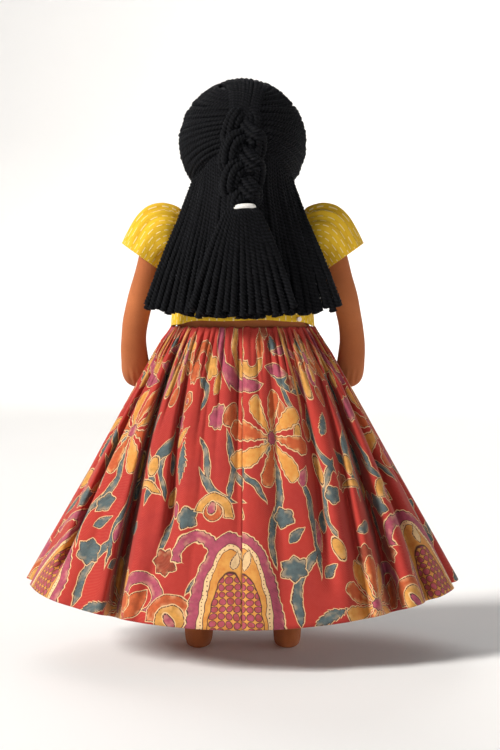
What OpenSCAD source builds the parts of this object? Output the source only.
// Stuffed cloth doll in a block-printed gathered skirt and a puff-sleeved blouse, with yarn hair.
// +Z is up, the face looks along -Y and the soles stand on Z = 0. The doll's left is +X.

/* [Body] */
// Radius of the stuffed head
head_r = 40; // [38:0.5:41]
// Height of the centre of the head above the soles
head_z = 350; // [349:0.5:352]
// Radius of the neck
neck_r = 12; // [10:0.5:12]
// Thickness of the body cloth
skin_t = 1.2; // [0.8:0.1:1.4]
// Distance from the middle of the doll to the middle of each leg
leg_x = 31; // [30:0.5:32]

/* [Hair] */
// Thickness of the layer of yarn on the head
cap_t = 5; // [4:0.5:5]
// Half of the width of the loose hair along its cut ends
fall_half_w = 66; // [60:1:66]
// Height of the cut ends of the loose hair
fall_z = 229; // [226:1:236]
// Thickness of the layer of loose yarn
fall_t = 4.4; // [3:0.2:4.6]

/* [Blouse] */
// Thickness of the blouse cloth with its turnings
blouse_t = 1.2; // [0.8:0.1:1.4]
// Height of the blouse's hem
blouse_z = 226; // [225:0.5:230]

/* [Skirt] */
// Half of the width of the hem, side to side
hem_half_w = 152; // [140:1:156]
// Half of the depth of the hem, front to back
hem_half_d = 108; // [100:1:112]
// Mean height of the hem above the soles
hem_z = 41; // [38:1:44]
// Thickness of the skirt cloth with its folds
skirt_t = 1.6; // [1:0.1:2]

/* [Hidden] */
$fn = 48;

skin_colour = "sienna";
yarn_colour = [0.07, 0.07, 0.08];
blouse_colour = "goldenrod";
skirt_colour = "firebrick";
wadding_colour = "ivory";
thread_colour = "saddlebrown";

fit_gap = 0.2;          // between a skin and the wadding that fills it
squareness = 2.5;       // exponent of the torso's cross-section; 2 is an ellipse
cap_r = head_r + cap_t;
neck_pivot_z = 306;
shoulder_z = 288;
thread_r = 1.5;
knot_r = 2.6;
armhole_x = 47.8;
hip_z = 168;
braid_split_z = 322;
waist_top_z = 223.5;
waist_low_z = 216;
waist_a = 46.6;
waist_b = 32.6;

// Each torso station is [height, half width, half depth].
torso_stations = [
    [171.6, 39, 0.8], [173, 41.5, 7], [176, 43, 13], [183, 44.6, 21], [195, 45.6, 28], [210, 46, 31],
    [226, 46, 32], [245, 46, 31.5], [265, 46.2, 30], [280, 46.2, 27], [291, 45, 23.5],
    [299, 42, 19.5], [303.5, 32, 16.5], [306, 14.2, 14.2]
];

// Each arm station is [x, y, z, half width, half thickness], from the shoulder to the finger tips.
arm_stations = [
    [53.8, 0, 301.5, 2, 2], [54.6, 0, 299.5, 5, 5], [56.4, 0, 294, 7.8, 8], [58.8, 0, 285, 9.3, 9.4],
    [62.5, 0, 272, 9.6, 9.6], [67, 0, 256, 9.3, 9.4], [71.5, -0.5, 241, 9, 9],
    [74.8, -2, 226, 8.8, 8.6], [76.2, -5.5, 213, 8.8, 8], [76, -10.5, 202, 9.8, 7.8],
    [75.5, -16.5, 193, 10.2, 7.4], [75, -21.5, 186.5, 8.8, 6.2], [74.6, -24.2, 183, 5.6, 4],
    [74.4, -25.2, 181.8, 2, 1.6]
];

// Each leg station is [height, centre y, half width, half depth].
leg_stations = [
    [166.2, 0, 10.6, 1.6], [163, 0, 11.8, 5.6], [156, 0, 12.8, 10], [142, 0, 13.2, 12.4],
    [115, 0, 12.8, 12.2], [85, 0, 11.8, 11.4], [60, 0, 11, 10.7], [42, 0, 10.5, 10.4],
    [32, 0, 10.2, 10.8], [25, -0.8, 10, 12.4], [20, -2.6, 10, 15], [15, -4.6, 10, 17.2],
    [10, -5.8, 9.8, 18.4], [5, -5.8, 9.4, 18.2], [1.8, -5.8, 8.4, 17.2], [0, -5.8, 6.4, 15.4], [0, -5.8, 0.4, 1]
];

// Each braid station is [height, centre y, half width, half depth].
crown_stations = [
    [362, 45.6, 4, 1], [357, 47.2, 8, 2], [350, 50.2, 11.5, 4.4], [342, 51.8, 14, 5.8], [332, 52, 15, 6.2],
    [braid_split_z, 52, 15, 6.2]
];
lower_stations = [
    [braid_split_z - 0.3, 52, 15, 6.2], [316, 51.8, 14.4, 6], [309, 51.4, 12, 5.4], [304, 51.2, 10, 4.8],
    [301, 51.2, 9.6, 4.6]
];
tail_stations = [
    [300.8, 51.2, 9.6, 4.4], [296, 51, 12, 4.6], [286, 50.8, 17, 4.6], [270, 50, 23, 4.2],
    [250, 49.6, 29, 3.8], [228, 49.2, 33, 3.4]
];

// Sleeve stations are [centre x, centre z, lean from vertical, half height, half depth].
sleeve_stations = [
    [armhole_x, shoulder_z, 90, 19, 19], [50.5, 288.5, 84, 21.6, 21.4], [55, 288, 72, 22.6, 21.6],
    [60, 284.5, 58, 21, 21.2], [65, 278, 44, 18.6, 20.4], [69, 271.8, 36, 17.6, 20]
];

// ---- Curves and grids ----

function sign_power(v, p) = sign(v) * pow(abs(v), p);

// A point on a rounded oval: an ellipse at n = 2 and squarer above it.
function oval(a, b, n, angle) = [a * sign_power(cos(angle), 2 / n), b * sign_power(sin(angle), 2 / n)];

function unit(v) = v / norm(v);

function blend(a, b, t) = a + (b - a) * t;

function quad(a, b, c, d) = [[a, b, c], [a, c, d]];

// Rows of points from one angle to another round upright stations [z, centre x, centre y, a, b].
function oval_rows(stations, n, from, to, steps) = [
    for (s = stations) [
        for (k = [0:steps]) let (p = oval(s[3], s[4], n, from + (to - from) * k / steps))
            [s[1] + p[0], s[2] + p[1], s[0]]
    ]
];

function open_ring(rows) = [for (r = rows) [for (k = [0:len(r) - 2]) r[k]]];

// A closed solid between an outer and an inner grid of points, open at its edges but for the rims.
module thick_sheet(outer, inner, wrap = false) {
    rows = len(outer);
    cols = len(outer[0]);
    n = rows * cols;
    last = wrap ? cols - 1 : cols - 2;
    points = concat([for (r = outer) each r], [for (r = inner) each r]);
    faces = concat(
        [for (i = [0:rows - 2], j = [0:last]) let (k = (j + 1) % cols)
            each quad(i * cols + j, i * cols + k, (i + 1) * cols + k, (i + 1) * cols + j)],
        [for (i = [0:rows - 2], j = [0:last]) let (k = (j + 1) % cols)
            each quad(n + (i + 1) * cols + j, n + (i + 1) * cols + k, n + i * cols + k, n + i * cols + j)],
        [for (j = [0:last]) let (k = (j + 1) % cols) each quad(k, j, n + j, n + k)],
        [for (j = [0:last]) let (k = (j + 1) % cols, b = (rows - 1) * cols)
            each quad(b + j, b + k, n + b + k, n + b + j)],
        wrap ? [] : [for (i = [0:rows - 2]) let (a = i * cols, b = (i + 1) * cols)
            each quad(a, b, n + b, n + a)],
        wrap ? [] : [for (i = [0:rows - 2]) let (a = (i + 1) * cols - 1, b = (i + 2) * cols - 1)
            each quad(b, a, n + a, n + b)]
    );
    polyhedron(points, faces, convexity = 6);
}

// A closed solid through rings of points, with flat ends.
module loft(rings) {
    rows = len(rings);
    cols = len(rings[0]);
    points = [for (r = rings) each r];
    faces = concat(
        [for (i = [0:rows - 2], j = [0:cols - 1]) let (k = (j + 1) % cols)
            each quad(i * cols + j, i * cols + k, (i + 1) * cols + k, (i + 1) * cols + j)],
        [[for (j = [cols - 1:-1:0]) j]],
        [[for (j = [0:cols - 1]) (rows - 1) * cols + j]]
    );
    polyhedron(points, faces, convexity = 4);
}

// ---- Torso and neck ----

function torso_grow(s, grow) = [s[0], 0, 0, max(s[1] + grow, 1), max(s[2] + grow, 0.15)];

function torso_panel_rows(grow, from, steps = 14) =
    oval_rows([for (s = torso_stations) torso_grow(s, grow)], squareness, from, from - 180, steps);

module shoulder_thread_bores(clear) {
    for (side = [-1, 1]) {
        translate([side * 40, 0, shoulder_z]) sphere(knot_r + clear);
        translate([side * 48, 0, shoulder_z]) rotate([0, 90, 0])
            cylinder(r = thread_r + clear, h = 20, center = true);
    }
}

module torso_panel(from) {
    color(skin_colour) difference() {
        thick_sheet(torso_panel_rows(0, from), torso_panel_rows(-skin_t, from));
        shoulder_thread_bores(0.08);
    }
}

module torso_stuffing() {
    grow = -skin_t - fit_gap;
    stations = [for (i = [1:len(torso_stations) - 2]) torso_grow(torso_stations[i], grow)];
    color(wadding_colour) difference() {
        loft(open_ring(oval_rows(stations, squareness, 360, 0, 28)));
        shoulder_thread_bores(0.08);
        translate([0, 0, neck_pivot_z]) sphere(neck_r + 0.5);
    }
}

function arc_points(r, from, to, z0, steps = 10) = [
    for (k = [0:steps]) let (a = from + (to - from) * k / steps) [r * cos(a), z0 + r * sin(a)]
];

module neck_skin() {
    inner = neck_r - skin_t;
    color(skin_colour) rotate_extrude() polygon(concat(
        [[0, neck_pivot_z - neck_r]],
        [for (p = arc_points(neck_r, -81, 0, neck_pivot_z, 9)) p],
        [[neck_r, 322], [inner, 322]],
        [for (p = arc_points(inner, 0, -81, neck_pivot_z, 9)) p],
        [[0, neck_pivot_z - inner]]
    ));
}

module neck_stuffing() {
    r = neck_r - skin_t - fit_gap;
    color(wadding_colour) rotate_extrude() polygon(concat(
        [[0, neck_pivot_z - r]], arc_points(r, -81, 0, neck_pivot_z, 9), [[r, 321.8], [0, 321.8]]
    ));
}

// The strong thread through the shoulder, with a knot at each end, on which the arm swings.
module shoulder_thread(side) {
    color(thread_colour) {
        translate([side * 40, 0, shoulder_z]) sphere(knot_r);
        translate([side * 48, 0, shoulder_z]) rotate([0, 90, 0]) cylinder(r = thread_r, h = 17, center = true);
        translate([side * 56.4, 0, shoulder_z]) sphere(knot_r);
    }
}

// Half loops of thread over the leg's bound top edge.
module hip_stitching(side) {
    loop_r = 2.6;
    color(thread_colour) for (k = [-2:2])
        translate([side * leg_x + k * 4.4, 0, hip_z]) rotate([90, 0, 90])
            rotate([0, 0, 20]) rotate_extrude(angle = 140) translate([loop_r, 0]) circle(r = 0.4, $fn = 16);
}

// ---- Blouse ----

blouse_heights = [blouse_z, 245, 265, 280, 291, 299, 302.5];

function torso_at(z, i = 0) =
    i >= len(torso_stations) - 2 || z <= torso_stations[i + 1][0]
    ? let (a = torso_stations[i], b = torso_stations[i + 1], t = (z - a[0]) / (b[0] - a[0]))
        [blend(a[1], b[1], t), blend(a[2], b[2], t)]
    : torso_at(z, i + 1);

function blouse_rows(grow, from) = oval_rows(
    [for (z = blouse_heights) let (s = torso_at(z)) [z, 0, 0, min(s[0] + grow, armhole_x - 0.4), s[1] + grow]],
    squareness, from, from - 180, 14);

module blouse_panel(from) {
    color(blouse_colour) difference() {
        thick_sheet(blouse_rows(0.5 + blouse_t, from), blouse_rows(0.4, from));
        for (side = [-1, 1]) translate([side * 48, 0, shoulder_z]) rotate([0, 90, 0])
            cylinder(r = 8, h = 20, center = true);
    }
}

module blouse_press_stud() {
    color("mistyrose") translate([-38.2, 26.4, blouse_z + 2.6]) rotate([-90, 0, 30]) cylinder(r = 1.6, h = 1.2);
}

// ---- Head ----

function shell_profile(outer, inner, bore) = let (
    low = -acos(bore / outer),
    low_in = -acos(bore / inner)
) concat(arc_points(outer, low, 90, head_z, 20), arc_points(inner, 90, low_in, head_z, 20));

module head_half(turn) {
    color(skin_colour) rotate([0, 0, turn]) rotate_extrude(angle = 180)
        polygon(shell_profile(head_r, head_r - skin_t, neck_r + 0.3));
}

module head_stuffing() {
    r = head_r - skin_t - fit_gap;
    bore = neck_r + 0.3;
    color(wadding_colour) rotate_extrude() polygon(concat(
        [[bore, 322.4]], arc_points(r, -acos(bore / r), 90, head_z, 20), [[0, 322.4]]
    ));
}

// Ladder stitches that sew the head to the top of the neck.
module neck_stitching() {
    color(thread_colour) translate([0, 0, 311.4]) rotate_extrude()
        translate([neck_r + 1.2, 0]) circle(r = 0.5, $fn = 16);
}

// Places a child on the face, at an angle to the side and an angle up, lying on the head's surface.
module on_face(aside, up) {
    translate([0, 0, head_z]) rotate([0, 0, aside]) rotate([-up, 0, 0]) translate([0, -head_r, 0])
        rotate([90, 0, 0]) children();
}

module eyes() {
    color("black") for (side = [-1, 1]) on_face(side * 18, 2) cylinder(r = 2.8, h = 0.8);
}

module stitched_arc(r, angle) {
    translate([0, 0, 0.5]) rotate([0, 0, 90 - angle / 2]) rotate_extrude(angle = angle)
        translate([r, 0]) circle(r = 0.5, $fn = 16);
}

module eyebrows() {
    color("black") for (side = [-1, 1]) on_face(side * 18, 2) stitched_arc(7, 80);
}

module nose_stitch() {
    color(thread_colour) on_face(0, -8) translate([-1.6, 0, 0]) cylinder(r = 0.7, h = 0.7);
    color(thread_colour) on_face(0, -8) translate([1.6, 0, 0]) cylinder(r = 0.7, h = 0.7);
}

module mouth() {
    color("firebrick") on_face(0, -20) rotate([0, 0, 180]) translate([0, -7, 0]) stitched_arc(8, 70);
}

module bindi() {
    color("firebrick") on_face(0, 16) cylinder(r = 1.8, h = 0.6);
}

// ---- Hair on the head ----

module hair_cap(side) {
    face_r = 29;
    color(yarn_colour) difference() {
        translate([0, 0, head_z]) sphere(cap_r, $fn = 96);
        translate([0, 0, head_z]) sphere(head_r + 0.3, $fn = 96);
        translate([0, -12, head_z - 10]) rotate([90, 0, 0]) cylinder(r = face_r, h = 60);
        translate([-60, -60, 250]) cube([120, 120, 319 - 250]);
        translate([side > 0 ? -100 + 0.4 : -0.4, -60, 250]) cube([100, 120, 200]);
    }
}

// A line of backstitch that holds the yarn down along the parting.
module parting_stitching() {
    color(thread_colour) translate([0, 0, head_z]) rotate([90, 0, 90]) rotate([0, 0, 35])
        rotate_extrude(angle = 90) translate([cap_r - 1, 0]) circle(r = 0.35, $fn = 16);
}

function braid_rings(stations, steps = 20) = open_ring(oval_rows(
    [for (s = stations) [s[0], 0, s[1], s[2], s[3]]], 2, 0, 360, steps));

module braid_part(stations) {
    color(yarn_colour) loft(braid_rings(stations));
}

// ---- Loose hair ----

// A point of the loose hair. s runs from the middle of the back to one side, t from the nape to the cut ends.
function fall_point(s, t, out) = let (
    top_r = cap_r - 5.4 + out,
    a = 82 * s,
    back = 1 - pow(1 - t, 3.5),
    top = [top_r * sin(a), top_r * cos(a)],
    low = [fall_half_w * s, 43 - 9 * s * s + out]
) [
    blend(top[0], low[0], t),
    blend(top[1], low[1], back),
    blend(324, fall_z + 7 * s * s * s, t)
];

function fall_rows(side, out) = [
    for (t = [0:0.1:1.001]) [
        for (k = [0:10]) let (s = side > 0 ? 1 - k / 10 * 0.995 : 0.005 + k / 10 * 0.995)
            let (p = fall_point(s, t, out)) [side * p[0], p[1], p[2]]
    ]
];

module hair_fall(side) {
    color(yarn_colour) thick_sheet(fall_rows(side, fall_t / 2), fall_rows(side, -fall_t / 2));
}

module hair_tie() {
    color("white") thick_sheet(
        open_ring(oval_rows([for (z = [304.6, 303, 301.4]) [z, 0, 51.2, 11.4, 6.2]], 2, 0, 360, 24)),
        open_ring(oval_rows([for (z = [304.6, 303, 301.4]) [z, 0, 51.2, 10.4, 5.2]], 2, 0, 360, 24)),
        wrap = true);
}

// ---- Arms ----

function arm_point(i) = let (s = arm_stations[i]) [s[0], s[1], s[2]];

function arm_direction(i) = unit(
    arm_point(min(i + 1, len(arm_stations) - 1)) - arm_point(max(i - 1, 0)));

// Rows round the arm; the angle runs from the outer seam, over the front or the back, to the inner seam.
function arm_rows(grow, from, to, steps, first = 0, past = 0) = [
    for (i = [first:len(arm_stations) - 1 - past]) let (
        s = arm_stations[i],
        d = arm_direction(i),
        u = unit([-d[2], 0, d[0]]),
        v = cross(d, u)
    ) [
        for (k = [0:steps]) let (a = from + (to - from) * k / steps)
            arm_point(i) + u * max(s[3] + grow, 0.3) * cos(a) + v * max(s[4] + grow, 0.3) * sin(a)
    ]
];

module arm_thread_bore() {
    translate([56.4, 0, shoulder_z]) sphere(knot_r + 0.1);
    translate([50, 0, shoulder_z]) rotate([0, 90, 0]) cylinder(r = thread_r + 0.08, h = 12, center = true);
}

module arm_panel(from) {
    color(skin_colour) difference() {
        thick_sheet(arm_rows(0, from, from + 180, 9), arm_rows(-skin_t, from, from + 180, 9));
        arm_thread_bore();
    }
}

module arm_stuffing() {
    color(wadding_colour) difference() {
        loft(open_ring(arm_rows(-skin_t - fit_gap, 0, 360, 18, 1, 1)));
        arm_thread_bore();
    }
}

// ---- Sleeves ----

function sleeve_rows(grow) = [
    for (s = sleeve_stations) let (u = [cos(s[2]), 0, sin(s[2])]) [
        for (k = [0:27]) let (a = -360 * k / 28)
            [s[0], 0, s[1]] + u * (s[3] + grow) * cos(a) + [0, (s[4] + grow) * sin(a), 0]
    ]
];

module sleeve() {
    color(blouse_colour) thick_sheet(sleeve_rows(0), sleeve_rows(-blouse_t), wrap = true);
}

// ---- Legs ----

function leg_row_stations(grow, first = 0, past = 0) = [
    for (i = [first:len(leg_stations) - 1 - past]) let (s = leg_stations[i], lift = s[0] < 5 ? -grow : 0)
        [s[0] + lift, leg_x, s[1], max(s[2] + grow, 0.2), max(s[3] + grow, 0.3)]
];

module leg_panel(from) {
    color(skin_colour) thick_sheet(
        oval_rows(leg_row_stations(0), 2, from, from - 180, 9),
        oval_rows(leg_row_stations(-skin_t), 2, from, from - 180, 9));
}

module leg_stuffing() {
    color(wadding_colour) loft(open_ring(
        oval_rows(leg_row_stations(-skin_t - fit_gap, 1, 2), 2, 360, 0, 18)));
}

// The leg's flat top edge, rolled and bound; it turns under the hip stitches.
module leg_binding() {
    color(skin_colour) translate([leg_x, 0, hip_z]) rotate([0, 90, 0]) cylinder(r = 1.6, h = 21, center = true);
}

// ---- Skirt ----

function skirt_rows(grow) = [
    for (i = [0:8]) let (t = i / 8) [
        for (k = [0:47]) let (
            a = -360 * k / 48,
            p = oval(blend(waist_a + 1.6, hem_half_w, t) + grow, blend(waist_b + 1.6, hem_half_d, t) + grow,
                blend(squareness, 2, t), a),
            low = hem_z + 8 * cos(2 * a)
        ) [p[0], p[1], blend(waist_low_z - 0.1, low, t)]
    ]
];

module skirt() {
    color(skirt_colour) thick_sheet(skirt_rows(0), skirt_rows(-skirt_t), wrap = true);
}

// Carries a closed section of [outward, height] points round the waist.
module waist_sweep(section) {
    steps = 40;
    m = len(section);
    points = [
        for (k = [0:steps - 1], s = section)
            let (p = oval(waist_a + s[0], waist_b + s[0], squareness, 360 * k / steps)) [p[0], p[1], s[1]]
    ];
    faces = [
        for (k = [0:steps - 1], j = [0:m - 1]) let (k2 = (k + 1) % steps, j2 = (j + 1) % m)
            each quad(k * m + j, k * m + j2, k2 * m + j2, k2 * m + j)
    ];
    polyhedron(points, faces, convexity = 6);
}

// The top of the skirt folded over the elastic.
module waistband() {
    color(skirt_colour) waist_sweep([
        [0, waist_low_z], [0, waist_top_z], [2.8, waist_top_z], [2.8, waist_low_z],
        [2, waist_low_z], [2, waist_top_z - 0.8], [0.8, waist_top_z - 0.8], [0.8, waist_low_z]
    ]);
}

module waist_elastic() {
    color("white") waist_sweep([[0.95, 217], [0.95, 222.4], [1.85, 222.4], [1.85, 217]]);
}

// ---- The doll ----

torso_panel(0);  // torso_front
torso_panel(180);  // torso_back
torso_stuffing();
neck_skin();
neck_stuffing();
shoulder_thread(1);  // shoulder_thread_left
shoulder_thread(-1);  // shoulder_thread_right
hip_stitching(1);  // hip_stitching_left
hip_stitching(-1);  // hip_stitching_right
blouse_panel(0);  // blouse_front
blouse_panel(180);  // blouse_back
blouse_press_stud();
head_half(180);  // head_front
head_half(0);  // head_back
head_stuffing();
neck_stitching();
eyes();
eyebrows();
nose_stitch();
mouth();
bindi();
hair_cap(1);  // hair_cap_left
hair_cap(-1);  // hair_cap_right
parting_stitching();
braid_part(crown_stations);  // braid_crown
hair_fall(1);  // hair_fall_left
hair_fall(-1);  // hair_fall_right
braid_part(lower_stations);  // braid_lower
hair_tie();
braid_part(tail_stations);  // braid_tail
arm_panel(180);  // arm_front_left
arm_panel(0);  // arm_back_left
arm_stuffing();  // arm_stuffing_left
sleeve();  // sleeve_left
mirror([1, 0, 0]) arm_panel(180);  // arm_front_right
mirror([1, 0, 0]) arm_panel(0);  // arm_back_right
mirror([1, 0, 0]) arm_stuffing();  // arm_stuffing_right
mirror([1, 0, 0]) sleeve();  // sleeve_right
leg_panel(90);  // leg_outer_left
leg_panel(270);  // leg_inner_left
leg_stuffing();  // leg_stuffing_left
leg_binding();  // leg_binding_left
mirror([1, 0, 0]) leg_panel(90);  // leg_outer_right
mirror([1, 0, 0]) leg_panel(270);  // leg_inner_right
mirror([1, 0, 0]) leg_stuffing();  // leg_stuffing_right
mirror([1, 0, 0]) leg_binding();  // leg_binding_right
skirt();
waistband();
waist_elastic();
